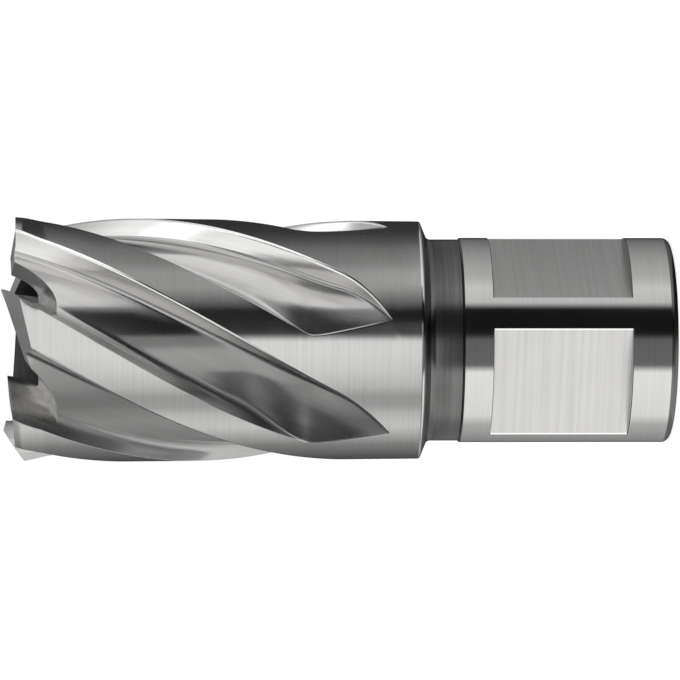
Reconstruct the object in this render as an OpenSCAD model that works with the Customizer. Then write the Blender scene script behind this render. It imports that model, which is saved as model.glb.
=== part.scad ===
// Annular cutter: a one-piece core drill of high-speed steel with a two-flat shank.
// The tool stands on its shank end. Z is the tool's axis, and the teeth point up.

/* [Shank] */
// Diameter of the shank
shank_d = 19.05; // [15:0.05:24]
// Length of the shank, from its end face to the neck
shank_len = 19.75; // [16:0.05:24]
// Rounding at the edge of the shank's end face
shank_round = 0.65; // [0.3:0.05:1]
// Height of the drive flats' lower wall above the end face
flat_from = 4.2; // [2:0.1:5]
// Plain length of the shank left above the drive flats
flat_gap = 2.85; // [1:0.05:4]
// Depth of each drive flat below the round of the shank
flat_depth = 1.85; // [1:0.05:2.2]

/* [Pilot bore] */
// Diameter of the bore that the pilot pin slides in
pilot_d = 6.4; // [5:0.05:8]
// Countersink at the bore's lower end
pilot_chamfer = 0.5; // [0.2:0.05:0.8]

/* [Neck and collar] */
// How far the neck lies below the round of the shank
neck_relief = 0.15; // [0.05:0.05:1]
// Length of the neck between shank and collar
neck_len = 2.75; // [2:0.05:4]
// Height of the cone between neck and collar
shoulder_len = 0.65; // [0.4:0.05:1.2]
// Rounding where the cone meets the collar
shoulder_round = 0.3; // [0.1:0.05:0.5]
// How far the collar lies below the cutting radius
collar_relief = 0.45; // [0.2:0.05:0.6]
// Length of the plain collar, up to the tips of the flutes
collar_len = 3.25; // [2.5:0.05:6]

/* [Body] */
// Height of the foremost tooth above the shank end
overall_len = 61.85; // [50:0.05:80]
// Cutting diameter, over the outer corners of the teeth
cut_d = 23; // [22:0.1:30]
// How far the lands lie below the cutting radius, just behind the margin
land_relief = 0.14; // [0.05:0.01:0.2]
// Length of the margin, from the foremost tooth down
margin_len = 3.6; // [3.2:0.1:4.5]
// Height of the taper from the lands up to the margin's full diameter
margin_step = 1.6; // [0.8:0.05:1.7]
// Wall of the body, from the core cavity to the cutting radius
wall_t = 4; // [3.6:0.1:5]
// Height of the core cavity's floor above the lower edge of the collar
core_floor = 3.9; // [3:0.1:8]
// Rounding at the bottom of the core cavity
core_round = 0.8; // [0.3:0.1:1.5]

/* [Flutes] */
// Pairs of teeth, each a square tooth and a bevelled one
tooth_pairs = 3; // [2:1:4]
// Lead of the right-hand helix
helix_lead = 122; // [100:1:180]
// Where the helix starts: angle of the first leading edge at the gauge height
helix_phase = -40.6; // [-180:0.1:180]
// Share of the tooth pitch that is land, the rest is flute
land_share = 0.337; // [0.3:0.005:0.42]
// Radial depth of the flutes, at their trailing side
flute_depth = 2.05; // [1.5:0.05:2.5]
// How far a flute's floor rises from its trailing side to its leading side
flute_rise = 0.6; // [0:0.05:1]
// How far the foot of the leading wall leans into the flute, as a share of the flute's width
lead_lean = 0.105; // [0.05:0.005:0.15]
// How far the foot of the trailing wall leans into the flute, as a share of the flute's width
trail_lean = 0.12; // [0.05:0.01:0.3]
// Length of the run-out, where a flute narrows and rises to its tip
runout_len = 7.7; // [6:0.1:10]
// Place of the tip across the flute, as a share of the flute's width
tip_share = 0.74; // [0.6:0.01:0.85]

/* [Teeth] */
// Forward lean of the rake faces, in degrees for each millimetre inward
rake_lean = 2.9; // [1:0.1:3]
// How far the square teeth's outer corners lie below the foremost crest
square_drop = 1.15; // [0.8:0.05:1.3]
// Width of the square teeth's level outer edge
square_flat = 1.1; // [0.8:0.05:1.6]
// Rise of the square teeth from that edge inward
square_rise = 11; // [5:1:14]
// Relief of the square teeth's ends, behind the cutting edge
square_relief = 2; // [2:0.5:10]
// Distance of the bevelled teeth's crest from the core cavity
crest_in = 0.9; // [0.7:0.1:1.6]
// How far the bevelled teeth's outer corners lie below the crest
bevel_drop = 1.85; // [1.5:0.05:2]
// Fall of the bevelled teeth from the crest inward
crest_fall = 15; // [5:1:20]
// Relief of the bevelled teeth's ends, behind the cutting edge
bevel_relief = 16; // [10:1:17]
// Depth of the gullets below the foremost crest, at the flute's floor
gullet_depth = 5.15; // [4.8:0.05:6.2]
// Slope of the gullets' floor, rising from the flute's floor to the core cavity
gullet_slope = 44; // [30:1:46]
// Width of the gullets at the core cavity, as a share of the flute's width
gullet_share = 0.755; // [0.65:0.005:0.8]
// How many degrees a gullet closes for each millimetre outward, which keeps its sides nearly parallel
gullet_close = 1.2; // [0.5:0.1:2]
// Share of the gullets' width that the round of their far side takes
gullet_curve = 0.8; // [0.5:0.05:0.9]
// Turn of that round, from the gullets' floor up to the back of the next tooth
gullet_turn = 58; // [45:1:75]

/* [Hidden] */
$fn = 96;

// Height at which the helix's phase is given
gauge_z = 60;
flat_len = shank_len - flat_from - flat_gap;
neck_top = shank_len + neck_len;
collar_z = neck_top + shoulder_len;
flute_tip_z = collar_z + collar_len;
core_z = collar_z + core_floor;
margin_z = overall_len - margin_len;
// Extra height of the turned blank, which the crown cut takes away
blank_extra = 0.6;
// How far the cutting shapes reach past the solid they cut, and past the core wall where there is less room
cut_past = 2;
core_past = 1;
// How far the flutes' walls run on straight past the lands
wall_past = 0.3;
// Small offset that keeps the crown cut's rings off the surfaces that they follow
skim = 0.05;
cut_top = overall_len + cut_past;

shank_r = shank_d / 2;
neck_r = shank_r - neck_relief;
cut_r = cut_d / 2;
collar_r = cut_r - collar_relief;
land_r = cut_r - land_relief;
core_r = cut_r - wall_t;
pilot_r = pilot_d / 2;
floor_r = land_r - flute_depth;
crest_r = core_r + crest_in;
// Radius at which the square teeth's level outer edge ends
square_r = cut_r - square_flat;

teeth = 2 * tooth_pairs;
pitch = 360 / teeth;
land_a = pitch * land_share;
flute_a = pitch - land_a;
helix_rate = 360 / helix_lead;

// Run-out: how softly the leading side swings in, the share of the length over which the trailing side bends in,
// the length above it over which the leading wall fades and the share of that wall that stays, half the tip's
// width in degrees, the start of the tip above the land, and the rings and their crowding
swing_ease = 0.1;
bend_share = 0.6;
lead_fade = 6;
lead_least = 0.07;
half_tip = 0.15;
tip_proud = 0.03;
runout_rings = 10;
runout_crowd = 1.4;
// Height of one ring of a flute above the run-out
ring_step = 1.1;
// Rounds at the feet of the flute's leading and trailing walls: reach in degrees, share of the wall, most share of
// the floor, and points
lead_foot_a = 4;
lead_foot_rise = 0.5;
foot_a = 2.2;
foot_rise = 0.2;
foot_most = 0.35;
foot_steps = 4;
// The gullets are cut this far past the flute's edge, into the tooth
gash_a = 0.6;

// Points on a quarter round of radius r about [x, y], from angle a to angle b
function arc(x, y, r, a, b, steps = 4) =
    [for (i = [0:steps]) [x + r * cos(a + (b - a) * i / steps), y + r * sin(a + (b - a) * i / steps)]];

// A point at radius r and height z, at an angle u ahead of the first leading edge's helix
function on_helix(u, r, z) =
    let (a = helix_phase + helix_rate * (z - gauge_z) + u)
    [r * cos(a), r * sin(a), z];

// Radius of the lands at height z: they taper a little from the teeth to the collar
function land_at(z) = collar_r + (land_r - collar_r) * (z - collar_z) / (margin_z - collar_z);

// Point t of the way along the curve from p to q that leaves and arrives along the lines through corner c
function blend(p, c, q, t) = (1 - t) * (1 - t) * p + 2 * t * (1 - t) * c + t * t * q;

// Points along that curve, from p to q
function round_foot(p, c, q) = [for (s = [0:foot_steps]) blend(p, c, q, s / foot_steps)];

// A fall from 1 to 0 as x does, straight at first and easing off at the end
function ease_out(x, ease) = (sqrt(x * x + ease * ease) - ease) / (sqrt(1 + ease * ease) - ease);

// A rise from 0 to 1 as x does, level at both ends and beyond them
function smooth(x) = let (t = min(1, max(0, x))) t * t * (3 - 2 * t);

// Triangles that join ring k to the next one, each ring of n points
function band(k, next, n) =
    [for (j = [0:n - 1])
        let (j2 = (j + 1) % n)
        each [[k * n + j, k * n + j2, next * n + j2], [k * n + j, next * n + j2, next * n + j]]];

// Outline of a flute at height z, as points around it: leading wall, floor, trailing wall, then the open side.
// The floor is deepest at the trailing wall. The leading wall fades above the run-out, and along that the leading
// side swings across to the tip, the trailing side bends in, and the floor rises.
function flute_ring(z, i) =
    let (
        along = min(1, (z - flute_tip_z) / runout_len),
        left = 1 - along,
        bend = pow(max(0, 1 - along / bend_share), 2),
        full = 1 - left * left,
        tip_u = flute_a * tip_share,
        u0 = (tip_u - half_tip) * ease_out(left, swing_ease),
        u1 = flute_a - (flute_a - tip_u - half_tip) * bend,
        stand = lead_least + (1 - lead_least) * smooth((z - flute_tip_z - runout_len) / lead_fade),
        r1 = land_at(z),
        r0 = r1 + tip_proud - (flute_depth + tip_proud - (land_r - r1)) * full,
        lead_r = r1 + tip_proud * (1 - full) - (flute_depth - flute_rise) * stand * full,
        lean0 = flute_a * lead_lean * stand * full,
        lean1 = flute_a * trail_lean * full,
        c0 = [u0 + lean0, lead_r],
        c1 = [u1 - lean1, r0],
        across = c1 - c0,
        f0 = c0 + min(foot_most, lead_foot_a * stand / across[0]) * across,
        f1 = c1 - min(foot_most, foot_a / across[0]) * across,
        w0 = c0 + ([u0, r1] - c0) * lead_foot_rise,
        w1 = c1 + ([u1, r1] - c1) * foot_rise,
        top0 = [u0 - lean0 * wall_past / max(r1 - lead_r, wall_past), r1 + wall_past],
        top1 = [u1 + lean1 * wall_past / max(r1 - r0, wall_past), r1 + wall_past],
        out0 = [top0[0], r1 + cut_past],
        out1 = [top1[0], r1 + cut_past],
        outline = concat(
            [out0, top0],
            round_foot(w0, c0, f0),
            [(f0 + f1) / 2],
            round_foot(f1, c1, w1),
            [top1, out1, (out0 + out1) / 2]))
    [for (p = outline) on_helix(p[0] + pitch * i, p[1], z)];

// Cutting shape of flute number i, swept up the helix from its tip to past the teeth
module flute(i) {
    upper_z = flute_tip_z + runout_len;
    steps = ceil((cut_top - upper_z) / ring_step);
    heights = concat(
        [for (s = [0:runout_rings - 1]) flute_tip_z + runout_len * pow(s / runout_rings, runout_crowd)],
        [for (s = [0:steps]) upper_z + (cut_top - upper_z) * s / steps]);
    rings = [for (z = heights) flute_ring(z, i)];
    n = len(rings[0]);
    last = len(rings) - 1;
    // Both end caps fan out from the middle of the open side
    mid = n - 1;
    fan = [for (j = [1:n - 2]) [mid, (mid + j) % n, (mid + j + 1) % n]];
    polyhedron(
        [for (ring = rings) each ring],
        concat(
            [for (k = [0:last - 1]) each band(k, k + 1, n)],
            [for (t = fan) [t[0], t[2], t[1]]],
            [for (t = fan) [for (j = t) last * n + j]]));
}

// Height of a tooth's cutting edge at radius r
function edge_z(r, bevelled) =
    bevelled
        ? (r > crest_r
            ? overall_len - bevel_drop * (r - crest_r) / (cut_r - crest_r)
            : overall_len - (crest_r - r) * tan(crest_fall))
        : overall_len - square_drop + max(0, square_r - r) * tan(square_rise);

// Height of a tooth's end, back degrees behind its cutting edge: it falls evenly with the angle, like a cam
function tooth_z(back, r, bevelled) =
    edge_z(r, bevelled) - cut_r * back * PI / 180 * tan(bevelled ? bevel_relief : square_relief);

// Height of a gullet's floor at radius r
function gullet_z(r) = overall_len - gullet_depth + max(0, floor_r - r) * tan(gullet_slope);

// Angle of the rake face at radius r: it leans forward
function rake_u(r) = rake_lean * (land_r - r) - gash_a;

// Angle of a gullet's far side at radius r
function far_u(r) = flute_a * gullet_share - gullet_close * (r - core_r);

// Angle that the round of a gullet's far side covers at radius r
function curve_a(r) = (far_u(r) - rake_u(r)) * gullet_curve;

// Angle that a tooth's end covers at radius r, from its cutting edge to its back
function end_a(r) = rake_u(r) - far_u(r) + pitch;

// Angle and height on a tooth's end, share s of the way from its back to its cutting edge
function end_point(s, r, bevelled) =
    let (back = (1 - s) * end_a(r))
    [rake_u(r) - back, tooth_z(back, r, bevelled)];

// Angle and height on a rake face, share s of the way down to the gullet
function rake_point(s, r, bevelled) =
    [rake_u(r), tooth_z(0, r, bevelled) * (1 - s) + gullet_z(r) * s];

// Angle and height on a gullet's floor, share s of the way to the round of its far side
function floor_point(s, r) =
    [rake_u(r) + (far_u(r) - curve_a(r) - rake_u(r)) * s, gullet_z(r)];

// Angle and height on that round, share s of the way along it. It ends at the back of the next tooth, which may
// be bevelled.
function curve_point(s, r, bevelled) =
    let (
        turn = gullet_turn * s,
        wall = tooth_z(end_a(r), r, bevelled) - gullet_z(r))
    [far_u(r) - curve_a(r) * (1 - sin(turn) / sin(gullet_turn)),
        gullet_z(r) + wall * (1 - cos(turn)) / (1 - cos(gullet_turn))];

// Cutting shape of the tool's front: all the tooth ends and gullets in one closed ring.
// Each pitch runs over a tooth's end, down its rake face, along the gullet and up to the next tooth's back.
module crown() {
    radii = [core_r - core_past, core_r - skim, (core_r + crest_r) / 2, crest_r, (crest_r + floor_r) / 2,
        floor_r + skim, (floor_r + square_r) / 2, square_r, (square_r + cut_r) / 2, cut_r + core_past];
    // Shares of the way along a tooth's end, down its rake face, along the gullet's floor and up its far round
    ends = [0, 0.2, 0.4, 0.6, 0.8, 0.9, 1];
    falls = [0.33, 0.66, 0.95];
    floors = [0.15, 0.6, 1];
    turns = [0.25, 0.5, 0.7, 0.86];
    per_tooth = len(ends) + len(falls) + len(floors) + len(turns);
    function column(i, c) =
        let (
            bevelled = i % 2 == 0,
            fall = c - len(ends),
            flat = fall - len(falls),
            turn = flat - len(floors))
        [for (r = radii)
            fall < 0 ? end_point(ends[c], r, bevelled)
            : flat < 0 ? rake_point(falls[fall], r, bevelled)
            : turn < 0 ? floor_point(floors[flat], r)
            : curve_point(turns[turn], r, !bevelled)];
    columns = [for (i = [0:teeth - 1], c = [0:per_tooth - 1])
        let (
            points = column(i, c),
            start_u = far_u(core_r) - pitch,
            top_u = start_u + pitch * (i + c / per_tooth),
            last = len(radii) - 1)
        concat(
            [for (k = [0:last]) on_helix(points[k][0] + pitch * i, radii[k], points[k][1])],
            [on_helix(top_u, radii[last], cut_top), on_helix(top_u, radii[0], cut_top)])];
    n = len(columns[0]);
    count = len(columns);
    polyhedron(
        [for (column = columns) each column],
        [for (k = [0:count - 1]) each band(k, (k + 1) % count, n)]);
}

// The turned blank with its core cavity and pilot bore
module blank() {
    blank_top = overall_len + blank_extra;
    rotate_extrude()
        polygon(concat(
            [[pilot_r + pilot_chamfer, 0]],
            arc(shank_r - shank_round, shank_round, shank_round, -90, 0),
            [[shank_r, shank_len], [neck_r, shank_len], [neck_r, neck_top]],
            arc(collar_r - shoulder_round, collar_z + shoulder_round, shoulder_round, -45, 0),
            [[land_r, margin_z], [cut_r, margin_z + margin_step], [cut_r, blank_top], [core_r, blank_top]],
            arc(core_r - core_round, core_z + core_round, core_round, 0, -90),
            [[pilot_r, core_z], [pilot_r, pilot_chamfer]]));
}

// The two drive flats, a quarter turn apart
module flats() {
    for (a = [-90, 0])
        rotate(a)
            translate([shank_r - flat_depth, -shank_r, flat_from])
                cube([shank_r, shank_d, flat_len]);
}

module cutter() {
    color([0.72, 0.73, 0.75])
        difference() {
            difference() {
                blank();
                flats();
                for (i = [0:teeth - 1])
                    flute(i);
            }
            crown();
        }
}

cutter();
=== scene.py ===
import bpy
import bmesh
import math
import numpy as np
from mathutils import Matrix, Vector


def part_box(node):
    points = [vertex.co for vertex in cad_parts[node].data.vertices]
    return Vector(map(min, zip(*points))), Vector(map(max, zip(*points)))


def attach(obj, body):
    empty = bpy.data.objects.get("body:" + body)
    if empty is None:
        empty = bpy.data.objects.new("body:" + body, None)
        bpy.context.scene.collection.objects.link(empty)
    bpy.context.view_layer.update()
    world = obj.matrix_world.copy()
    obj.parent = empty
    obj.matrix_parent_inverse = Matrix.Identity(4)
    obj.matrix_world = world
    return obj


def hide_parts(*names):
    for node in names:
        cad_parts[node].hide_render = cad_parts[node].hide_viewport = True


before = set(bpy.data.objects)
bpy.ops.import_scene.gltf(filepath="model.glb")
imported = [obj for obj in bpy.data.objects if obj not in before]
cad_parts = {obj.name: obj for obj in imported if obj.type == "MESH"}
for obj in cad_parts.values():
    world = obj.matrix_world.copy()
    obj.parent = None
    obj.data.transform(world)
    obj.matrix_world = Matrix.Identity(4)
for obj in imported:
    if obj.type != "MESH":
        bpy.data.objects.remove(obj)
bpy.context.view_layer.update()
mm = 0.001
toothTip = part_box("cutter")[1].z / mm
print("frame loaded with", len(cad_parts), "node, the cutter is", round(toothTip, 2), "mm tall")


# the cutter, in millimetres and degrees: the tool's axis is Z and the teeth point up
sizes = {
    "shankR": 9.525,
    "shankTop": 19.75,
    "shankEdge": 0.22,      # small chamfer at the shank's upper edge
    "endRound": 0.65,
    "flatLow": 4.2,
    "flatHigh": 16.9,
    "flatDistance": 7.675,  # from the axis to each drive flat
    "flatAngles": (-90, 0),
    "flatEdge": 0.06,
    "pilotR": 3.2,
    "pilotChamfer": 0.5,
    "neckR": 9.375,
    "neckTop": 22.5,
    "neckFoot": 0.15,       # small cone between the neck and the collar
    "collarLow": 23.15,
    "collarR": 11.05,
    "shoulderRound": 0.3,
    "length": toothTip,
    "cutR": 11.5,
    "landR": 11.36,
    "marginLength": 3.6,
    "marginStep": 1.6,      # height over which the land grows to the cutting radius
    "coreR": 7.5,
    "coreLow": 27.05,
    "coreRound": 0.8,
    "teeth": 6,
    "lead": 122,            # height of one full turn of the flutes
    "phase": -40.6,         # first leading edge at the gauge height
    "gaugeZ": 60,
    "landShare": 0.337,     # share of a pitch that its land takes
    "fluteDepth": 2.05,
    "leadLean": 0.105,      # shares of the flute's width that its walls lean over
    "trailLean": 0.12,
    "tipZ": 26.4,
    "runout": 7.7,
    "tipShare": 0.74,       # place of the run-out's tip across the flute
    "tipHalf": 0.5,
    "swingEase": 0.1,
    "bendShare": 0.6,       # share of the run-out along which the trailing side bends in
    "fluteRise": 0.6,       # the floor climbs this much from its trailing side to its leading side
    "leadFade": 6,          # height above the run-out over which the leading wall grows to its full depth
    "leadLeast": 0.07,      # share of that depth at the run-out
    "leadFootReach": 4,     # the round at a wall's foot, in degrees along the floor
    "leadFootRise": 0.5,    # and as a share of the wall
    "footReach": 2.2,
    "footRise": 0.2,
    "footMost": 0.35,       # no foot takes more of the floor than this share
    "farShare": 0.7625,     # share of the floor where the gullets leave it
    "tipFarShare": 0.5,     # the same column's share at the run-out's tip
    "leastLean": 0.2,
    "trailRound": 0.18,     # the eased edge behind each land
    "leadRound": 0.015,     # the sharper one before it
    "edgeMost": 0.4,        # no edge's round takes more of a wall than this share
    "rakeLean": 2.9,        # degrees for each millimetre inward
    "gash": 0.6,
    "squareDrop": 1.15,
    "squareFlat": 1.1,
    "squareRise": 11,
    "squareRelief": 2,
    "crestR": 8.4,
    "bevelDrop": 1.85,
    "crestFall": 15,
    "bevelRelief": 16,
    "gulletDepth": 5.15,
    "gulletSlope": 44,
    "gulletShare": 0.755,
    "gulletCurve": 0.8,     # share of the gullet's width that the round of its far side takes
    "gulletTurn": 58,       # degrees of that round
    "wallDraft": 0.3,       # degrees, keeps the rake faces' inner edges apart on the core
    "crownLow": 55,         # where the rows of the flutes end and those of the teeth begin
    "boreLow": 54,
    "edgeRow": 0.2,         # rows of the mesh this far from an edge keep the faces beside it plain
    "nearRow": 0.1,         # and this far from a round
}

# the mesh: steps along each stretch, and how points and edges are joined
meshing = {
    "collar": 16,
    "runout": 36,
    "runoutCrowd": 1.25,    # above 1 the rows crowd at the run-out's tip
    "flutes": 42,
    "crownSide": 8,
    "toothSide": 12,
    "toCrest": 10,
    "toCore": 5,
    "coreWall": 8,
    "shoulder": 5,
    "plainRows": 4,
    "flatRows": 8,
    "shankEnd": 8,
    "cavityRows": 5,
    "cavityCorner": 6,
    "endFace": 6,
    "endPasses": 3,
    "leastHeight": 1e-6,
    "mergeDigits": 4,
    "sharpAngle": 30,
}

pitch = 360 / sizes["teeth"]
fluteA = pitch * (1 - sizes["landShare"])
helixRate = 360 / sizes["lead"]
floorR = sizes["landR"] - sizes["fluteDepth"]
marginZ = sizes["length"] - sizes["marginLength"]
collarTop = sizes["collarLow"] + sizes["shoulderRound"]
leadDepth = sizes["fluteDepth"] - sizes["fluteRise"]
rakeCore = sizes["rakeLean"] * (sizes["landR"] - sizes["coreR"])
farCore = fluteA * sizes["gulletShare"]
zoneNames = ["shank", "flat", "neck", "land", "edge", "wall", "flute", "gullet", "toothEnd", "bore"]
zones = {name: index for index, name in enumerate(zoneNames)}


def tanDeg(a):
    return math.tan(math.radians(a))


def ringPoints(angle, r, z):
    # a point at radius r and height z, turned by angle about the axis
    a = np.radians(angle)
    return np.stack(np.broadcast_arrays(r * np.cos(a), r * np.sin(a), z), -1)


def helixAngle(u, z):
    # an angle u ahead of the first leading edge, which climbs evenly round the axis
    return sizes["phase"] + helixRate * (z - sizes["gaugeZ"]) + u


def smoothStep(x):
    x = np.clip(x, 0, 1)
    return x * x * (3 - 2 * x)


def mix(a, b, t):
    return a + (b - a) * t


def shares(steps):
    # even shares of the way along a stretch, as a column
    return np.linspace(0, 1, steps + 1)[:, None]


def curve(p, c, q, t):
    # t of the way along the parabola from p to q that starts and ends along the lines through c
    return (1 - t) ** 2 * p + 2 * t * (1 - t) * c + t ** 2 * q


def landRadius(z):
    # straight taper from the collar to the margin
    share = (z - sizes["collarLow"]) / (marginZ - sizes["collarLow"])
    return mix(sizes["collarR"], sizes["landR"], share)


# columns round one pitch of the body: shares of the way along each stretch, crowded where the form turns
stretches = {
    "leadFoot": np.linspace(0, 1, 9),
    "floor": np.linspace(0, 1, 21),
    "farFloor": np.linspace(0, 1, 4),
    "trailFoot": np.linspace(0, 1, 9),
    "trailWall": np.array([0, 0.3, 0.6, 0.85, 0.96, 1]),
    "trailEdge": np.linspace(0, 1, 4),
    "land": np.concatenate(([0, 0.015], np.linspace(0.05, 0.95, 15), [0.985, 1])),
    "leadEdge": np.linspace(0, 1, 4),
    "leadWall": np.array([0, 0.04, 0.15, 0.4, 0.7, 1]),
}
stretchEnds = np.cumsum([0] + [len(t) - 1 for t in stretches.values()])
pitchColumns = int(stretchEnds[-1])
farColumn = int(stretchEnds[2])   # the gullet's far side leaves the flute here
allColumns = sizes["teeth"] * pitchColumns
# painted highlight: the land's rounded edges take the lighter edge grey, and the trailing walls the lighter
# wall grey, which paints them bright
stretchZones = {"trailWall": "wall", "trailEdge": "edge", "land": "land", "leadEdge": "edge"}
columnZones = np.repeat([zones[stretchZones.get(name, "flute")] for name in stretches], np.diff(stretchEnds))


def pitchSection(z):
    # angle and radius of every column of one pitch at heights z: the flute's foot, floor, foot and wall, then
    # the land between its two rounded edges and the next tooth's leading wall. The leading wall fades towards
    # the run-out. Along the run-out the leading side swings over to the tip, the trailing side bends in and
    # the floor rises
    along = np.clip((z - sizes["tipZ"]) / sizes["runout"], 0, 1)
    left = 1 - along
    full = 1 - left ** 2
    ease = sizes["swingEase"]
    swing = (np.sqrt(left ** 2 + ease ** 2) - ease) / (math.sqrt(1 + ease ** 2) - ease)
    bend = np.clip(1 - along / sizes["bendShare"], 0, None) ** 2
    tipU = fluteA * sizes["tipShare"]
    u0 = (tipU - sizes["tipHalf"]) * swing
    u1 = fluteA - (fluteA - tipU - sizes["tipHalf"]) * bend
    above = smoothStep((z - sizes["tipZ"] - sizes["runout"]) / sizes["leadFade"])
    stand = mix(sizes["leadLeast"], 1, above) * full
    r1 = landRadius(z)
    r0 = r1 - (sizes["fluteDepth"] - (sizes["landR"] - r1)) * full
    leadR = r1 - leadDepth * stand
    lean0 = mix(sizes["leastLean"], fluteA * sizes["leadLean"], stand)
    lean1 = mix(sizes["leastLean"], fluteA * sizes["trailLean"], full)
    margin = mix(r1, sizes["cutR"], np.clip((z - marginZ) / sizes["marginStep"], 0, 1))
    width = u1 - lean1 - u0 - lean0

    def point(u, r):
        return np.stack(np.broadcast_arrays(u, r), -1)

    def roundEdge(corner, footPoint, size):
        # start of a land edge's rounding on the wall below, and its reach along the land in degrees
        height = margin - footPoint[..., 1]
        drop = np.minimum(size, sizes["edgeMost"] * height)
        start = mix(corner, footPoint, (drop / np.maximum(height, meshing["leastHeight"]))[..., None])
        return start, point(np.degrees(drop / margin), 0 * drop)

    turn = np.array([pitch, 0])
    foot0 = point(u0 + lean0, leadR)
    foot1 = point(u1 - lean1, r0)
    reach0 = np.minimum(sizes["footMost"], sizes["leadFootReach"] * stand / width)[..., None]
    reach1 = np.minimum(sizes["footMost"], sizes["footReach"] / width)[..., None]
    floor0 = mix(foot0, foot1, reach0)
    floor1 = mix(foot1, foot0, reach1)
    far1 = mix(foot0, foot1, mix(sizes["tipFarShare"], sizes["farShare"], full)[..., None])
    wall0 = mix(foot0, point(u0, r1), sizes["leadFootRise"])
    wall1 = mix(foot1, point(u1, r1), sizes["footRise"])
    corner0 = point(u0 - lean0 * (margin - r1) / leadDepth, margin)
    corner1 = point(u1 + lean1 * (margin - r1) / sizes["fluteDepth"], margin)
    under0, edge0 = roundEdge(corner0, foot0, sizes["leadRound"])
    under1, edge1 = roundEdge(corner1, foot1, sizes["trailRound"])
    over0 = corner0 + turn - edge0
    over1 = corner1 + edge1
    route = [
        (wall0, foot0, floor0),
        (floor0, (floor0 + far1) / 2, far1),
        (far1, (far1 + floor1) / 2, floor1),
        (floor1, foot1, wall1),
        (wall1, (wall1 + under1) / 2, under1),
        (under1, corner1, over1),
        (over1, (over1 + over0) / 2, over0),
        (over0, corner0 + turn, under0 + turn),
        (under0 + turn, (under0 + wall0) / 2 + turn, wall0 + turn),
    ]
    out = np.empty(z.shape + (2,))
    for (p, c, q), t, first, last in zip(route, stretches.values(), stretchEnds[:-1], stretchEnds[1:]):
        span = slice(first, last + 1)
        out[:, span] = curve(p[:, span], c[:, span], q[:, span], t[:, None])
    return out[..., 0], out[..., 1]


patches = []


def gridQuads(points, closed):
    # corners of the quads between the rows and columns of a grid, whose last column meets its first if closed
    rows, cols = points.shape[:2]
    index = np.arange(rows * cols).reshape(rows, cols)
    if closed:
        index = np.hstack((index, index[:, :1]))
    return np.stack((index[:-1, :-1], index[:-1, 1:], index[1:, 1:], index[1:, :-1]), -1)


def addPatch(points, zone, closed=False):
    # keeps a grid's points, quads and zones until all the patches are joined
    quads = gridQuads(points, closed)
    zone = np.broadcast_to(zone, quads.shape[:2])
    patches.append((points.reshape(-1, 3), quads.reshape(-1, 4), zone.reshape(-1)))


def shankColumns():
    # angles round the shank, with a column on each long edge of the two flats
    half = math.degrees(math.acos(sizes["flatDistance"] / sizes["shankR"]))
    first, second = sizes["flatAngles"]
    stops = [first - half, first + half, second - half, second + half, first - half + 360]
    counts = [round((b - a) / 360 * allColumns) for a, b in zip(stops, stops[1:])]
    counts[-1] = allColumns - sum(counts[:-1])
    spans = [np.linspace(a, b, n, endpoint=False) for a, b, n in zip(stops, stops[1:], counts)]
    onFlat = np.repeat([True, False, True, False], counts)
    return np.concatenate(spans), onFlat


shankAngles, onFlat = shankColumns()


def bodyRows():
    # collar, run-out and upper flutes, up to where the gullets begin
    tip, top = sizes["tipZ"], sizes["tipZ"] + sizes["runout"]
    collar = np.linspace(collarTop, tip, meshing["collar"], endpoint=False)
    along = np.linspace(0, 1, meshing["runout"], endpoint=False)
    runout = tip + sizes["runout"] * along ** meshing["runoutCrowd"]
    return np.concatenate((collar, runout, np.linspace(top, sizes["crownLow"], meshing["flutes"] + 1)))


def makeBody():
    # every column follows the helix, and on the plain collar it eases over to the shank's columns
    rows = bodyRows()
    z = np.repeat(rows[:, None], pitchColumns + 1, 1)
    u, r = pitchSection(z)
    turns = pitch * np.repeat(np.arange(sizes["teeth"]), pitchColumns)
    u = np.tile(u[:, :-1], sizes["teeth"]) + turns
    r = np.tile(r[:, :-1], sizes["teeth"])
    below = smoothStep((sizes["tipZ"] - rows) / (sizes["tipZ"] - collarTop))[:, None]
    angle = mix(helixAngle(u, rows[:, None]), shankAngles, below)
    zone = np.where(rows[:-1, None] < sizes["tipZ"], zones["land"], np.tile(columnZones, sizes["teeth"]))
    addPatch(ringPoints(angle, r, rows[:, None]), zone, closed=True)


def edgeHeight(r, bevelled):
    # a bevelled tooth falls both ways from its crest, a square one is level outside and rises inward
    if bevelled:
        outside = sizes["bevelDrop"] * (r - sizes["crestR"]) / (sizes["cutR"] - sizes["crestR"])
        inside = (sizes["crestR"] - r) * tanDeg(sizes["crestFall"])
        return sizes["length"] - np.where(r > sizes["crestR"], outside, inside)
    rise = np.clip(sizes["cutR"] - sizes["squareFlat"] - r, 0, None) * tanDeg(sizes["squareRise"])
    return sizes["length"] - sizes["squareDrop"] + rise


def endHeight(u, r, bevelled):
    # a tooth's end falls evenly with the angle behind its cutting edge, like a cam
    relief = sizes["bevelRelief"] if bevelled else sizes["squareRelief"]
    back = np.clip(pitch + sizes["rakeLean"] * (sizes["landR"] - r) - u, 0, None)
    return edgeHeight(r, bevelled) - sizes["cutR"] * np.radians(back) * tanDeg(relief)


def gulletHeight(r):
    # level at the flute's floor, then climbing to the core cavity
    climb = np.clip(floorR - r, 0, None) * tanDeg(sizes["gulletSlope"])
    return sizes["length"] - sizes["gulletDepth"] + climb


def inwardRadii(outer):
    # from an outer radius in to the crest and on to the core cavity
    crest = mix(outer[..., None], sizes["crestR"], shares(meshing["toCrest"])[:, 0])
    core = mix(sizes["crestR"], sizes["coreR"], shares(meshing["toCore"])[1:, 0])
    core = np.broadcast_to(core, outer.shape + core.shape)
    return np.concatenate((crest, core), -1)


def inwardShare(radii):
    # how far each radius lies on the way in to the core cavity
    outer = radii[..., :1]
    return (outer - radii) / (outer - sizes["coreR"])


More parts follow.
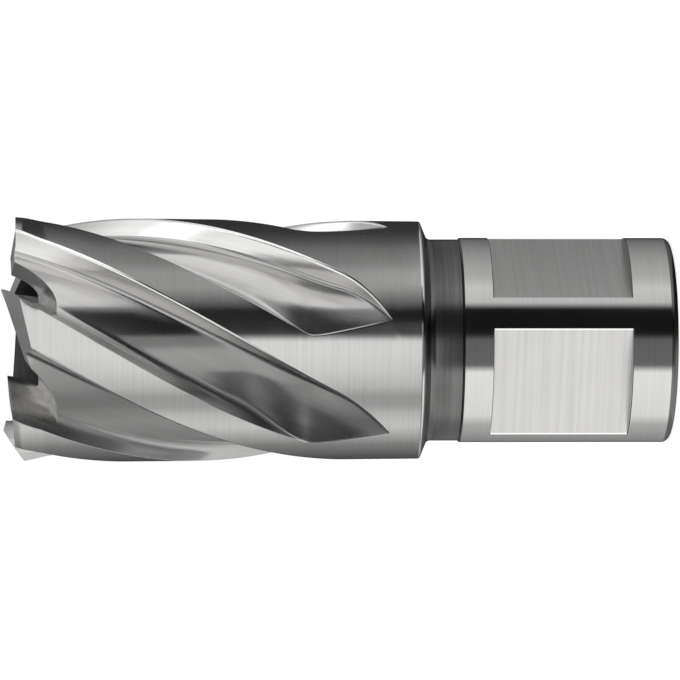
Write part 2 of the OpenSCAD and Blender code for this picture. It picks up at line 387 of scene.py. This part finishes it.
def makeTooth(i):
    # pitch i of the crown: the gullet ahead of tooth i and the whole of the tooth after it
    bevelled = (i + 1) % 2 == 0
    turn = pitch * i
    far = farColumn
    draft = sizes["wallDraft"]
    up = shares(meshing["toothSide"])

    # height of the tooth's end along the outside of the body, whose section there depends on that height
    topZ = np.full((1, pitchColumns + 1), sizes["length"] - sizes["squareDrop"])
    for _ in range(meshing["endPasses"]):
        u, r = pitchSection(topZ)
        topZ = endHeight(u, r, bevelled)
    u, r, topZ = u[0], r[0], topZ[0]

    # lower edge of the gullet, whose far side curves up to the tooth's back, and a line on to the next gullet
    gulletA = u[far] - sizes["rakeLean"] * (sizes["landR"] - r[far]) + sizes["gash"]
    curveA = sizes["gulletCurve"] * gulletA
    roundTurn = math.radians(sizes["gulletTurn"])
    bend = np.clip((u[:far + 1] - u[far] + curveA) / curveA, 0, 1) * math.sin(roundTurn)
    lift = (1 - np.sqrt(1 - bend ** 2)) / (1 - math.cos(roundTurn))
    share = (u[far:] - u[far]) / (u[-1] - u[far])
    lowZ = gulletHeight(r)
    lowZ[:far + 1] = mix(lowZ[:far + 1], topZ[far], lift)
    lowZ[far:] = mix(topZ[far], lowZ[-1], share)

    # the body up to that edge
    z = mix(sizes["crownLow"], lowZ, shares(meshing["crownSide"]))
    bodyU, bodyR = pitchSection(z)
    addPatch(ringPoints(helixAngle(bodyU + turn, z), bodyR, z), columnZones)

    # the outside of the tooth, up to its end
    z = mix(lowZ, topZ, up)
    sideU, sideR = pitchSection(z)
    z, sideU, sideR = z[:, far:], sideU[:, far:], sideR[:, far:]
    addPatch(ringPoints(helixAngle(sideU + turn, z), sideR, z), columnZones[far:])

    # the tooth's end, from its outer edge in to the core cavity
    endR = inwardRadii(sideR[-1])
    inward = inwardShare(endR)
    coreU = mix(farCore, pitch + rakeCore, share)[:, None]
    endU = mix(sideU[-1][:, None], coreU, inward)
    endZ = endHeight(endU, endR, bevelled)
    endZ[:, 0] = z[-1]
    addPatch(ringPoints(helixAngle(endU + turn, endZ), endR, endZ), zones["toothEnd"])

    # the gullet's floor and the round of its far side
    floorR0, floorU0 = bodyR[-1, :far + 1], bodyU[-1, :far + 1]
    gulletR = inwardRadii(floorR0)
    inward = inwardShare(gulletR)
    across = (floorU0 - floorU0[0]) / (floorU0[far] - floorU0[0])
    gulletCoreU = mix(rakeCore + draft, farCore, across)
    gulletU = mix(floorU0[:, None], gulletCoreU[:, None], inward)
    gulletZ = mix(gulletHeight(gulletR), endZ[0], lift[:, None])
    addPatch(ringPoints(helixAngle(gulletU + turn, gulletZ), gulletR, gulletZ), zones["gullet"])

    # the tooth's rake face, between the next gullet's floor and the end
    rakeR = inwardRadii(sideR[:, -1])
    inward = inwardShare(rakeR)
    rakeU = mix(sideU[:, -1:], pitch + rakeCore, inward) + draft * inward * (1 - up)
    rakeZ = mix(gulletHeight(rakeR[0]), endZ[-1], up)
    addPatch(ringPoints(helixAngle(rakeU + turn, rakeZ), rakeR, rakeZ), zones["gullet"])

    # the core cavity's wall under all of these, down to a plain ring
    rimU = np.concatenate((gulletU[:, -1], endU[1:, -1], rakeU[-2::-1, -1]))
    rimZ = np.concatenate((gulletZ[:, -1], endZ[1:, -1], rakeZ[-2::-1, -1]))
    steps = meshing["toothSide"]
    lowU = np.concatenate((gulletCoreU, mix(farCore, pitch + rakeCore + draft, share[1:]),
                           np.full(steps, pitch + rakeCore + draft)))
    ring = helixAngle(lowU, marginZ) + turn
    fall = shares(meshing["coreWall"])
    rimAngle = helixAngle(rimU + turn, rimZ)
    z = mix(rimZ, sizes["boreLow"], fall)
    # painted shade: the core cavity's wall takes the bore's near-black grey
    addPatch(ringPoints(mix(rimAngle, ring, fall), sizes["coreR"], z), zones["bore"])
    return ring[:-steps - 1]


def roundCorner(x, y, radius, start, end, steps):
    # points on an arc about x, y
    a = np.radians(np.linspace(start, end, steps + 1))
    return np.stack((x + radius * np.cos(a), y + radius * np.sin(a)), -1)


def straight(r, firstZ, lastZ, rows):
    # rows of a profile at one radius, from one height to another
    return np.stack((np.full(rows, r), np.linspace(firstZ, lastZ, rows)), -1)


def makeShank():
    # turned profile from the collar down to the end face, with the two flats cut across its round
    shoulder = sizes["shoulderRound"]
    neckR, shankR, top = sizes["neckR"], sizes["shankR"], sizes["shankTop"]
    edge, foot = sizes["shankEdge"], sizes["neckFoot"]
    cut, low, high = sizes["flatEdge"], sizes["flatLow"], sizes["flatHigh"]
    endRound, clear = sizes["endRound"], sizes["edgeRow"]
    plain = meshing["plainRows"]
    corner = roundCorner(sizes["collarR"] - shoulder, collarTop, shoulder, 0, -45, meshing["shoulder"])
    corner[0, 0] = landRadius(collarTop)
    cone = np.array([[neckR + foot, sizes["neckTop"] + foot], [neckR, sizes["neckTop"] - foot]])
    neck = straight(neckR, sizes["neckTop"] - 2 * foot, top + foot, plain)
    step = np.array([[neckR, top], [shankR - edge, top], [shankR, top - edge], [shankR, top - 2 * edge]])
    upper = straight(shankR, top - 3 * edge, high + clear, plain)
    flatTop = np.array([[shankR, high + cut], [shankR, high], [shankR, high - cut / 2]])
    flatMiddle = straight(shankR, high - clear, low + clear, meshing["flatRows"])
    flatFoot = np.array([[shankR, low + cut / 2], [shankR, low], [shankR, low - cut]])
    flat = np.concatenate((flatTop, flatMiddle, flatFoot))
    lower = straight(shankR, low - clear, endRound + sizes["nearRow"], plain)
    end = roundCorner(shankR - endRound, endRound, endRound, 0, -90, meshing["shankEnd"])
    profile = np.concatenate((corner, cone, neck, step, upper, flat, lower, end))

    # how deep the flats may cut at each row, and which faces belong to them
    depth = np.zeros(len(profile))
    firstFlat = len(profile) - len(flat) - len(lower) - len(end)
    lastFlat = firstFlat + len(flat) - 1
    depth[[firstFlat + 1, lastFlat - 1]] = cut
    depth[firstFlat + 2:lastFlat - 1] = shankR
    nearest = np.min([np.abs((shankAngles - a + 180) % 360 - 180) for a in sizes["flatAngles"]], 0)
    flatR = np.where(onFlat, sizes["flatDistance"] / np.cos(np.radians(nearest)), shankR)
    r = np.where(depth[:, None] > 0, np.maximum(flatR, profile[:, :1] - depth[:, None]), profile[:, :1])
    rows = np.arange(len(profile) - 1)
    inFlat = ((rows >= firstFlat) & (rows < lastFlat))[:, None] & onFlat
    neckLast = len(corner) + len(cone) + len(neck) + 2
    # painted shade: the faces from the shoulder round down over the neck to the shank's top edge, and the
    # shank's end round, take the neck's dark grey
    zone = np.where(rows < 2, zones["land"], np.where(rows < neckLast, zones["neck"], zones["shank"]))
    zone = np.where(rows < len(profile) - len(end), zone, zones["neck"])
    # painted highlight: the columns on the flats' long edges take the lighter edge grey
    rim = onFlat & ~(np.roll(onFlat, 1) & np.roll(onFlat, -1))
    zone = np.where(inFlat, np.where(rim, zones["edge"], zones["flat"]), zone[:, None])
    # painted shade: the rows at the flats' ends take the neck's dark grey, which darkens their end walls
    ends = [firstFlat, firstFlat + 1, lastFlat - 2, lastFlat - 1]
    zone[ends] = np.where(onFlat, zones["neck"], zone[ends])
    addPatch(ringPoints(shankAngles, r, profile[:, 1:]), zone, closed=True)


def makeBore(plainAngles):
    # core cavity, its floor and the pilot bore down to the end face, where the columns meet the shank's
    coreR, low, soft = sizes["coreR"], sizes["coreLow"], sizes["coreRound"]
    pilotR, chamfer, near = sizes["pilotR"], sizes["pilotChamfer"], sizes["nearRow"]
    wall = straight(coreR, sizes["boreLow"], low + soft, meshing["cavityRows"])
    corner = roundCorner(coreR - soft, low + soft, soft, 0, -90, meshing["cavityCorner"])[1:]
    floor = np.array([[coreR - soft - near, low], [pilotR + near, low], [pilotR, low], [pilotR, low - near]])
    pilot = straight(pilotR, low - sizes["edgeRow"], chamfer + near, meshing["plainRows"])
    mouth = np.array([[pilotR, chamfer], [pilotR + chamfer, 0]])
    profile = np.concatenate((wall, corner, floor, pilot, mouth))
    # painted shade: the cavity, its floor and the pilot bore take the near-black grey
    addPatch(ringPoints(plainAngles, profile[:, :1], profile[:, 1:]), zones["bore"], closed=True)

    # the end face, between the pilot bore's mouth and the shank's round
    shift = int(np.argmin(np.abs((plainAngles - shankAngles[0] + 180) % 360 - 180)))
    inner = np.unwrap(np.roll(plainAngles, -shift), period=360)
    inner += 360 * np.round((shankAngles[0] - inner[0]) / 360)
    share = shares(meshing["endFace"])
    r = mix(sizes["shankR"] - sizes["endRound"], pilotR + chamfer, share)
    addPatch(ringPoints(mix(shankAngles, inner, share), r, 0 * r), zones["shank"], closed=True)


def joinPatches(name):
    # patches share their edge points: points that coincide become one, and quads that close up turn into
    # triangles
    offsets = np.cumsum([0] + [len(points) for points, _, _ in patches])
    points = np.concatenate([p for p, _, _ in patches])
    quads = np.concatenate([q + start for (_, q, _), start in zip(patches, offsets)])
    zone = np.concatenate([z for _, _, z in patches])
    rounded = np.round(points, meshing["mergeDigits"])
    _, first, same = np.unique(rounded, axis=0, return_index=True, return_inverse=True)
    quads = same.reshape(-1)[quads]
    keep = quads != np.roll(quads, -1, 1)
    whole = keep.sum(1) > 2
    faces = [quad[used].tolist() for quad, used in zip(quads[whole], keep[whole])]
    mesh = bpy.data.meshes.new(name)
    mesh.from_pydata(points[first] * mm, [], faces)
    mesh.polygons.foreach_set("material_index", zone[whole].astype(np.int32))
    work = bmesh.new()
    work.from_mesh(mesh)
    bmesh.ops.recalc_face_normals(work, faces=work.faces)
    openEdges = sum(len(e.link_faces) != 2 for e in work.edges)
    volume = round(work.calc_volume() / mm ** 3, 1)
    print(name, len(work.faces), "faces,", openEdges, "open edges, volume", volume)
    work.to_mesh(mesh)
    work.free()
    mesh.shade_smooth()
    mesh.set_sharp_from_angle(angle=math.radians(meshing["sharpAngle"]))
    piece = bpy.data.objects.new(name, mesh)
    bpy.context.scene.collection.objects.link(piece)
    return piece


makeBody()
plainAngles = np.concatenate([makeTooth(i) for i in range(sizes["teeth"])])
makeShank()
makeBore(plainAngles)
cutterPiece = joinPatches("groundCutter")


# grinding marks shared by every finish
grind = {
    "lineDetail": 3,
    "cloudDetail": 2,
    "cloudScale": 180,
    "noiseRange": (0.3, 0.7),         # the part of the noise that is spread over the full range
    "warmth": (1.01, 1, 0.985),       # red, green and blue shares of a grey, a trace warm
    "drawnTurn": 0.25,                # quarter turn, so that gloss is drawn out along the tool
}


def grindGroup():
    # fine lines from coordinates stretched along the cut, and a slow cloud
    group = bpy.data.node_groups.new("grindMarks", "ShaderNodeTree")
    group.interface.new_socket("Vector", in_out="INPUT", socket_type="NodeSocketVector")
    group.interface.new_socket("Cloud Scale", in_out="INPUT", socket_type="NodeSocketFloat")
    group.interface.new_socket("Lines", in_out="OUTPUT", socket_type="NodeSocketFloat")
    group.interface.new_socket("Cloud", in_out="OUTPUT", socket_type="NodeSocketFloat")
    nodes, links = group.nodes, group.links
    source = nodes.new("NodeGroupInput")
    result = nodes.new("NodeGroupOutput")
    lines = nodes.new("ShaderNodeTexNoise")
    lines.inputs["Scale"].default_value = 1
    lines.inputs["Detail"].default_value = grind["lineDetail"]
    links.new(source.outputs["Vector"], lines.inputs["Vector"])
    cloud = nodes.new("ShaderNodeTexNoise")
    cloud.inputs["Detail"].default_value = grind["cloudDetail"]
    coordinates = nodes.new("ShaderNodeTexCoord")
    links.new(coordinates.outputs["Object"], cloud.inputs["Vector"])
    links.new(source.outputs["Cloud Scale"], cloud.inputs["Scale"])
    for noise, name in ((lines, "Lines"), (cloud, "Cloud")):
        spread = nodes.new("ShaderNodeMapRange")
        spread.inputs["From Min"].default_value = grind["noiseRange"][0]
        spread.inputs["From Max"].default_value = grind["noiseRange"][1]
        links.new(noise.outputs["Fac"], spread.inputs["Value"])
        links.new(spread.outputs["Result"], result.inputs[name])
    return group


grindMarks = grindGroup()

# one finish for each zone: greys (the steel's own, but painted shade in the dark neck and bore greys and
# painted highlights in the light edge and wall greys), roughness range, lines per metre along X, Y and Z,
# height of the marks in metres, whether the lines follow the helix, and how far gloss is drawn out along the
# tool
finishes = {
    "shank": {"grey": (0.61, 0.65), "rough": (0.09, 0.12), "lines": (60, 60, 6000), "marks": 5e-8},
    "flat": {"grey": (0.58, 0.66), "rough": (0.26, 0.34), "lines": (40, 40, 3500), "marks": 2e-7},
    # painted shade: the neck's dark grey stands in for the shade in the recess under the collar, and the
    # shoulder round, the flats' end walls and the shank's end round take it too
    "neck": {"grey": (0.15, 0.2), "rough": (0.2, 0.26), "lines": (60, 60, 4000), "marks": 2e-7},
    "land": {"grey": (0.61, 0.65), "rough": (0.1, 0.13), "lines": (60, 60, 5000), "marks": 4e-8},
    # painted highlight: the edge grey is lighter than the steel's, so the rounded land edges and the flats'
    # long edges show bright lines
    "edge": {"grey": (0.88, 0.94), "rough": (0.2, 0.26), "lines": (900, 900, 900), "marks": 1e-7},
    # painted highlight: the wall grey is lighter than the steel's, which paints a bright reflection on the
    # trailing walls
    "wall": {"grey": (0.82, 0.88), "rough": (0.14, 0.2), "lines": (2600, 2600, 40), "marks": 2e-7,
             "helix": True},
    "flute": {"grey": (0.48, 0.52), "rough": (0.22, 0.26), "lines": (2600, 2600, 40), "marks": 1e-7,
              "helix": True, "drawn": 0.9},
    "gullet": {"grey": (0.5, 0.62), "rough": (0.2, 0.28), "lines": (2500, 2500, 300), "marks": 3e-7,
               "helix": True},
    "toothEnd": {"grey": (0.55, 0.65), "rough": (0.2, 0.26), "lines": (2500, 2500, 2500), "marks": 2e-7},
    # painted shade: the near-black grey of the core cavity and the pilot bore stands in for the shade inside
    # them
    "bore": {"grey": (0.06, 0.09), "rough": (0.3, 0.4), "lines": (120, 120, 3500), "marks": 4e-7},
}


def steelMaterial(name, finish):
    # the lines change the grey and stand up a little, the cloud changes the roughness
    material = bpy.data.materials.new(name + "Steel")
    material.use_nodes = True
    nodes, links = material.node_tree.nodes, material.node_tree.links
    shader = nodes["Principled BSDF"]
    shader.inputs["Metallic"].default_value = 1
    coordinates = nodes.new("ShaderNodeTexCoord")
    place = coordinates.outputs["Object"]
    if finish.get("drawn"):
        shader.inputs["Anisotropic"].default_value = finish["drawn"]
        shader.inputs["Anisotropic Rotation"].default_value = grind["drawnTurn"]
    if finish.get("helix"):   # unwinds the helix, so that the lines run along it
        height = nodes.new("ShaderNodeSeparateXYZ")
        links.new(place, height.inputs["Vector"])
        twist = nodes.new("ShaderNodeMath")
        twist.operation = "MULTIPLY"
        twist.inputs[1].default_value = -math.radians(helixRate) / mm
        links.new(height.outputs["Z"], twist.inputs[0])
        unwind = nodes.new("ShaderNodeVectorRotate")
        unwind.rotation_type = "Z_AXIS"
        links.new(place, unwind.inputs["Vector"])
        links.new(twist.outputs["Value"], unwind.inputs["Angle"])
        place = unwind.outputs["Vector"]
    stretch = nodes.new("ShaderNodeMapping")
    stretch.inputs["Scale"].default_value = finish["lines"]
    links.new(place, stretch.inputs["Vector"])
    marks = nodes.new("ShaderNodeGroup")
    marks.node_tree = grindMarks
    marks.inputs["Cloud Scale"].default_value = grind["cloudScale"]
    links.new(stretch.outputs["Vector"], marks.inputs["Vector"])
    tone = nodes.new("ShaderNodeMix")
    tone.data_type = "RGBA"
    for socket, grey in zip(("A", "B"), finish["grey"]):
        tone.inputs[socket].default_value = [grey * part for part in grind["warmth"]] + [1]
    links.new(marks.outputs["Lines"], tone.inputs["Factor"])
    links.new(tone.outputs["Result"], shader.inputs["Base Color"])
    rough = nodes.new("ShaderNodeMapRange")
    rough.inputs["To Min"].default_value = finish["rough"][0]
    rough.inputs["To Max"].default_value = finish["rough"][1]
    links.new(marks.outputs["Cloud"], rough.inputs["Value"])
    links.new(rough.outputs["Result"], shader.inputs["Roughness"])
    bump = nodes.new("ShaderNodeBump")
    bump.inputs["Strength"].default_value = 1
    bump.inputs["Distance"].default_value = finish["marks"]
    links.new(marks.outputs["Lines"], bump.inputs["Height"])
    links.new(bump.outputs["Normal"], shader.inputs["Normal"])
    return material


for name in zoneNames:
    cutterPiece.data.materials.append(steelMaterial(name, finishes[name]))
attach(cutterPiece, "root")
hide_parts("cutter")
print("steel finishes done")


# the camera lies on its side, as the photograph shows the tool with its teeth to the left
view = {"azimuth": 30, "distance": 0.4, "height": 0.0469, "aimHeight": 0.0306, "lens": 227.65, "sensor": 36}


def makeCamera():
    data = bpy.data.cameras.new("camera")
    data.lens = view["lens"]
    data.sensor_width = view["sensor"]
    camera = bpy.data.objects.new("camera", data)
    a = math.radians(view["azimuth"])
    place = Vector((math.sin(a) * view["distance"], -math.cos(a) * view["distance"], view["height"]))
    back = (place - Vector((0, 0, view["aimHeight"]))).normalized()
    right = Vector((math.cos(a), math.sin(a), 0)).cross(back).normalized()
    up = back.cross(right)
    camera.matrix_world = Matrix.Translation(place) @ Matrix((right, up, back)).transposed().to_4x4()
    bpy.context.scene.collection.objects.link(camera)
    bpy.context.scene.camera = camera


makeCamera()


# studio that only reflections show: a dome of panels round the tool and a small tent round the shank. A panel
# stop is an angle from the camera, positive towards the picture's top, and a level. The dome's panels lie in
# rings one over another, and each pair of elevations says where one ring gives way to the next
studio = {
    "domeRadius": 1.0,
    "domeCentre": 0.03,
    "domeLimit": 89,
    "domeRows": 60,
    "roundColumns": 96,
    "underPanels": [(-180, 0.3), (-120, 1.1), (-65, 1.0), (-50, 0.5), (-15, 0.45), (0, 0.12), (20, 0.04),
                    (180, 0.03)],
    "underAngle": (-22, -15),
    "flutePanels": [(-180, 0.3), (-150, 1.2), (-130, 1.1), (-115, 0.5), (-98, 0.2), (-85, 0.02), (-50, 0.02),
                    (-25, 0.1), (0, 0.45), (15, 0.6), (18, 0), (50, 0), (55, 1.4), (75, 1.55), (100, 1.5),
                    (125, 1.1), (142, 0.1), (180, 0.05)],
    "lowAngle": (-7.2, -5.6),
    "levelPanels": [(-180, 0.03), (-150, 0.12), (-135, 0.2), (-120, 0.3), (-105, 0.57), (-90, 0.85),
                    (-75, 0.75), (-66, 0.52), (-55, 0.5), (-45, 0.75), (-30, 0.95), (-15, 1.05), (-1, 1.07),
                    (5, 0.04), (12, 0.02), (28, 0.02), (38, 0.24), (50, 0.45), (65, 0.43), (78, 0.28),
                    (95, 0.2), (110, 0.09), (125, 0.05), (180, 0.03)],
    "raisedAngle": (3.3, 4.4),
    "raisedPanels": [(-180, 0.1), (-85, 0.02), (-60, 0.05), (-25, 0.2), (0, 0.45), (25, 0.5), (29, 0),
                     (59, 0), (65, 1.4), (110, 1.4), (130, 0.9), (142, 0.1), (180, 0.05)],
    "highAngle": (11, 17),
    "highPanels": [(-180, 0.28), (-150, 0.2), (-80, 0.1), (-62, 0.4), (-45, 1.0), (60, 1.0), (80, 0.7),
                   (110, 0.3), (180, 0.28)],
    "ceilingAngle": (52, 62),
    "ceiling": 0.45,
    "tentRadius": 0.03,
    "tentHeights": (-0.02, 0.0205),
    "tentRows": 5,
    "tentPanels": [(-180, 0.02), (-154, 0.04), (-140, 0.28), (-95, 0.6), (-80, 1.05), (-31, 1.15),
                   (-24, 0.19), (0, 0.17), (5, 0.02), (9, 0.01), (30, 0.01), (36, 0.75), (50, 0.85),
                   (64, 0.62), (90, 0.46), (118, 0.27), (136, 0.17), (148, 0.03), (180, 0.02)],
    "cardRadius": 0.022,
    "flagRadius": 0.0225,   # the black flags hang just behind the white cards
    "cardColumns": 40,
    "cardRows": 4,
    "floorSize": 6.0,
    "floorGrey": 0.25,
    "floorRough": 0.9,
    "floorGlow": 0.8,
    "worldLight": 0.9,
    "lampPower": 6.0,
    "lampSize": 0.6,
    "lampHeight": 0.9,
}

# bent sheets close to the tool: white cards that the lands and flutes reflect, and black flags for the dark
# parts of the flutes. An edge is a line of angles from the camera and heights
cards = {
    "landCard": {"low": [(-12, 0.0525), (7, 0.0525), (33, 0.0608)], "high": [(0, 0.068)], "level": 1.0},
    "fluteCard": {"low": [(36, 0.05), (62, 0.0562)], "high": [(0, 0.068)], "level": 1.3},
    "runoutCard": {"low": [(47, 0.0307), (98, 0.0434)], "high": [(47, 0.0367), (98, 0.0494)], "level": 1.3},
}
flags = {
    "bandFlag": {"low": [(10, 0.0438), (15, 0.0438), (32, 0.0489)], "high": [(0, 0.06)], "level": 0.0},
    "runoutFlag": {"low": [(6, 0.0305), (12, 0.0285), (42, 0.0288), (46, 0.0302)],
                   "high": [(6, 0.0335), (12, 0.035), (24, 0.038), (38, 0.0395), (42, 0.036)], "level": 0.0},
    "lowerFlag": {"low": [(-80, 0.0285), (-62, 0.0285), (-22, 0.0361)],
                  "high": [(-80, 0.0344), (-47, 0.042)], "level": 0.03},
}
cameraAngle = view["azimuth"] - 90   # the camera's own angle about the Z axis


def stageObject(name, points, closed=False):
    # a sheet from a grid of points, facing the tool, which neither the camera nor the floor sees
    quads = gridQuads(points, closed)[..., ::-1].reshape(-1, 4)
    mesh = bpy.data.meshes.new(name)
    mesh.from_pydata(points.reshape(-1, 3), [], quads.tolist())
    thing = bpy.data.objects.new(name, mesh)
    bpy.context.scene.collection.objects.link(thing)
    thing.visible_camera = False
    thing.visible_diffuse = False
    thing.visible_transmission = False
    thing.visible_shadow = False
    return thing


def glowMaterial(name):
    # an emission material and the socket of its colour
    material = bpy.data.materials.new(name)
    material.use_nodes = True
    nodes, links = material.node_tree.nodes, material.node_tree.links
    nodes.remove(nodes["Principled BSDF"])
    glow = nodes.new("ShaderNodeEmission")
    links.new(glow.outputs["Emission"], nodes["Material Output"].inputs["Surface"])
    return material, glow.inputs["Color"]


def roundTool(material):
    # the angle from the camera as a share of a turn, with the camera at one half, and the height
    nodes, links = material.node_tree.nodes, material.node_tree.links
    coordinates = nodes.new("ShaderNodeTexCoord")
    split = nodes.new("ShaderNodeSeparateXYZ")
    links.new(coordinates.outputs["Object"], split.inputs["Vector"])
    around = nodes.new("ShaderNodeMath")
    around.operation = "ARCTAN2"
    links.new(split.outputs["Y"], around.inputs[0])
    links.new(split.outputs["X"], around.inputs[1])
    fromCamera = nodes.new("ShaderNodeMath")
    fromCamera.operation = "MULTIPLY_ADD"
    fromCamera.inputs[1].default_value = 1 / (2 * math.pi)
    fromCamera.inputs[2].default_value = 0.5 - cameraAngle / 360
    links.new(around.outputs["Value"], fromCamera.inputs[0])
    share = nodes.new("ShaderNodeMath")
    share.operation = "FRACT"
    links.new(fromCamera.outputs["Value"], share.inputs[0])
    return share.outputs["Value"], split.outputs["Z"]


def panelRamp(material, share, stops):
    # levels that change evenly from one stop to the next
    nodes, links = material.node_tree.nodes, material.node_tree.links
    ramp = nodes.new("ShaderNodeValToRGB")
    elements = ramp.color_ramp.elements
    elements[0].position = (stops[0][0] + 180) / 360
    elements[1].position = (stops[-1][0] + 180) / 360
    for angle, _ in stops[1:-1]:
        elements.new((angle + 180) / 360)
    for element, (_, level) in zip(elements, stops):
        element.color = (level, level, level, 1)
    links.new(share, ramp.inputs["Fac"])
    return ramp.outputs["Color"]


def changeOver(material, height, limits, below, above):
    # goes from one colour to another between two heights; a plain number stands for a grey
    nodes, links = material.node_tree.nodes, material.node_tree.links
    change = nodes.new("ShaderNodeMapRange")
    change.interpolation_type = "SMOOTHSTEP"
    change.inputs["From Min"].default_value = limits[0]
    change.inputs["From Max"].default_value = limits[1]
    links.new(height, change.inputs["Value"])
    panels = nodes.new("ShaderNodeMix")
    panels.data_type = "RGBA"
    links.new(change.outputs["Result"], panels.inputs["Factor"])
    for socket, colour in (("A", below), ("B", above)):
        if isinstance(colour, float):
            panels.inputs[socket].default_value = (colour, colour, colour, 1)
        else:
            links.new(colour, panels.inputs[socket])
    return panels.outputs["Result"]


def makeDome():
    # a sphere round the tool, its rings of panels stacked by elevation
    radius = studio["domeRadius"]
    limit = studio["domeLimit"]
    elevation = np.radians(np.linspace(-limit, limit, studio["domeRows"]))[:, None]
    angle = np.linspace(0, 360, studio["roundColumns"], endpoint=False)
    points = ringPoints(angle, radius * np.cos(elevation), radius * np.sin(elevation))
    dome = stageObject("lightDome", points, closed=True)
    dome.location.z = studio["domeCentre"]
    material, colour = glowMaterial("domePanels")
    share, height = roundTool(material)

    def heights(name):
        return [radius * math.sin(math.radians(a)) for a in studio[name]]

    panels = panelRamp(material, share, studio["underPanels"])
    rings = {"underAngle": "flutePanels", "lowAngle": "levelPanels", "raisedAngle": "raisedPanels",
             "highAngle": "highPanels"}
    for angles, ring in rings.items():
        above = panelRamp(material, share, studio[ring])
        panels = changeOver(material, height, heights(angles), panels, above)
    panels = changeOver(material, height, heights("ceilingAngle"), panels, studio["ceiling"])
    material.node_tree.links.new(panels, colour)
    dome.data.materials.append(material)
    return dome


def makeShankTent():
    # an open cylinder round the shank
    rows = np.linspace(*studio["tentHeights"], studio["tentRows"])[:, None]
    angle = np.linspace(0, 360, studio["roundColumns"], endpoint=False)
    tent = stageObject("shankTent", ringPoints(angle, studio["tentRadius"], rows), closed=True)
    material, colour = glowMaterial("tentPanels")
    share, _ = roundTool(material)
    material.node_tree.links.new(panelRamp(material, share, studio["tentPanels"]), colour)
    tent.data.materials.append(material)
    return tent


def makeCard(name, card, radius):
    # a grid between the card's lower and upper edges, bent round the tool's axis
    angle = np.linspace(card["low"][0][0], card["low"][-1][0], studio["cardColumns"])
    low = np.interp(angle, *zip(*card["low"]))
    high = np.interp(angle, *zip(*card["high"]))
    rows = mix(low, high, shares(studio["cardRows"] - 1))
    sheet = stageObject(name, ringPoints(cameraAngle + angle, radius, rows))
    material, colour = glowMaterial(name + "Face")
    colour.default_value = (card["level"],) * 3 + (1,)
    sheet.data.materials.append(material)
    return sheet


def makeFloor():
    # a pale sheet that glows only for the camera, and that the tool doesn't reflect
    half = studio["floorSize"] / 2
    mesh = bpy.data.meshes.new("floor")
    corners = [(-half, -half, 0), (half, -half, 0), (half, half, 0), (-half, half, 0)]
    mesh.from_pydata(corners, [], [(0, 1, 2, 3)])
    floor = bpy.data.objects.new("floor", mesh)
    bpy.context.scene.collection.objects.link(floor)
    floor.visible_glossy = False
    material = bpy.data.materials.new("paleFloor")
    material.use_nodes = True
    nodes, links = material.node_tree.nodes, material.node_tree.links
    shader = nodes["Principled BSDF"]
    shader.inputs["Base Color"].default_value = (studio["floorGrey"],) * 3 + (1,)
    shader.inputs["Roughness"].default_value = studio["floorRough"]
    shader.inputs["Specular IOR Level"].default_value = 0
    shader.inputs["Emission Color"].default_value = (1, 1, 1, 1)
    path = nodes.new("ShaderNodeLightPath")
    glow = nodes.new("ShaderNodeMath")
    glow.operation = "MULTIPLY"
    glow.inputs[1].default_value = studio["floorGlow"]
    links.new(path.outputs["Is Camera Ray"], glow.inputs[0])
    links.new(glow.outputs["Value"], shader.inputs["Emission Strength"])
    mesh.materials.append(material)
    return floor


def makeLights():
    # a white world, a little lower for diffuse light, and a soft lamp over the tool
    world = bpy.data.worlds.new("studio")
    bpy.context.scene.world = world
    world.use_nodes = True
    nodes, links = world.node_tree.nodes, world.node_tree.links
    background = nodes["Background"]
    background.inputs["Color"].default_value = (1, 1, 1, 1)
    path = nodes.new("ShaderNodeLightPath")
    seen = nodes.new("ShaderNodeMath")
    seen.operation = "MAXIMUM"
    links.new(path.outputs["Is Camera Ray"], seen.inputs[0])
    links.new(path.outputs["Is Glossy Ray"], seen.inputs[1])
    clear = nodes.new("ShaderNodeMath")
    clear.operation = "MAXIMUM"
    links.new(seen.outputs["Value"], clear.inputs[0])
    links.new(path.outputs["Is Transmission Ray"], clear.inputs[1])
    level = nodes.new("ShaderNodeMapRange")
    level.inputs["To Min"].default_value = studio["worldLight"]
    level.inputs["To Max"].default_value = 1
    links.new(clear.outputs["Value"], level.inputs["Value"])
    links.new(level.outputs["Result"], background.inputs["Strength"])
    lamp = bpy.data.lights.new("softbox", "AREA")
    lamp.energy = studio["lampPower"]
    lamp.size = studio["lampSize"]
    softbox = bpy.data.objects.new("softbox", lamp)
    softbox.location = (0, 0, studio["lampHeight"])
    softbox.visible_glossy = False
    bpy.context.scene.collection.objects.link(softbox)


floor = makeFloor()
makeDome()
makeShankTent()
for name, card in cards.items():
    makeCard(name, card, studio["cardRadius"])
for name, flag in flags.items():
    makeCard(name, flag, studio["flagRadius"])
makeLights()
bpy.context.scene.view_settings.view_transform = "Standard"
print("studio done")
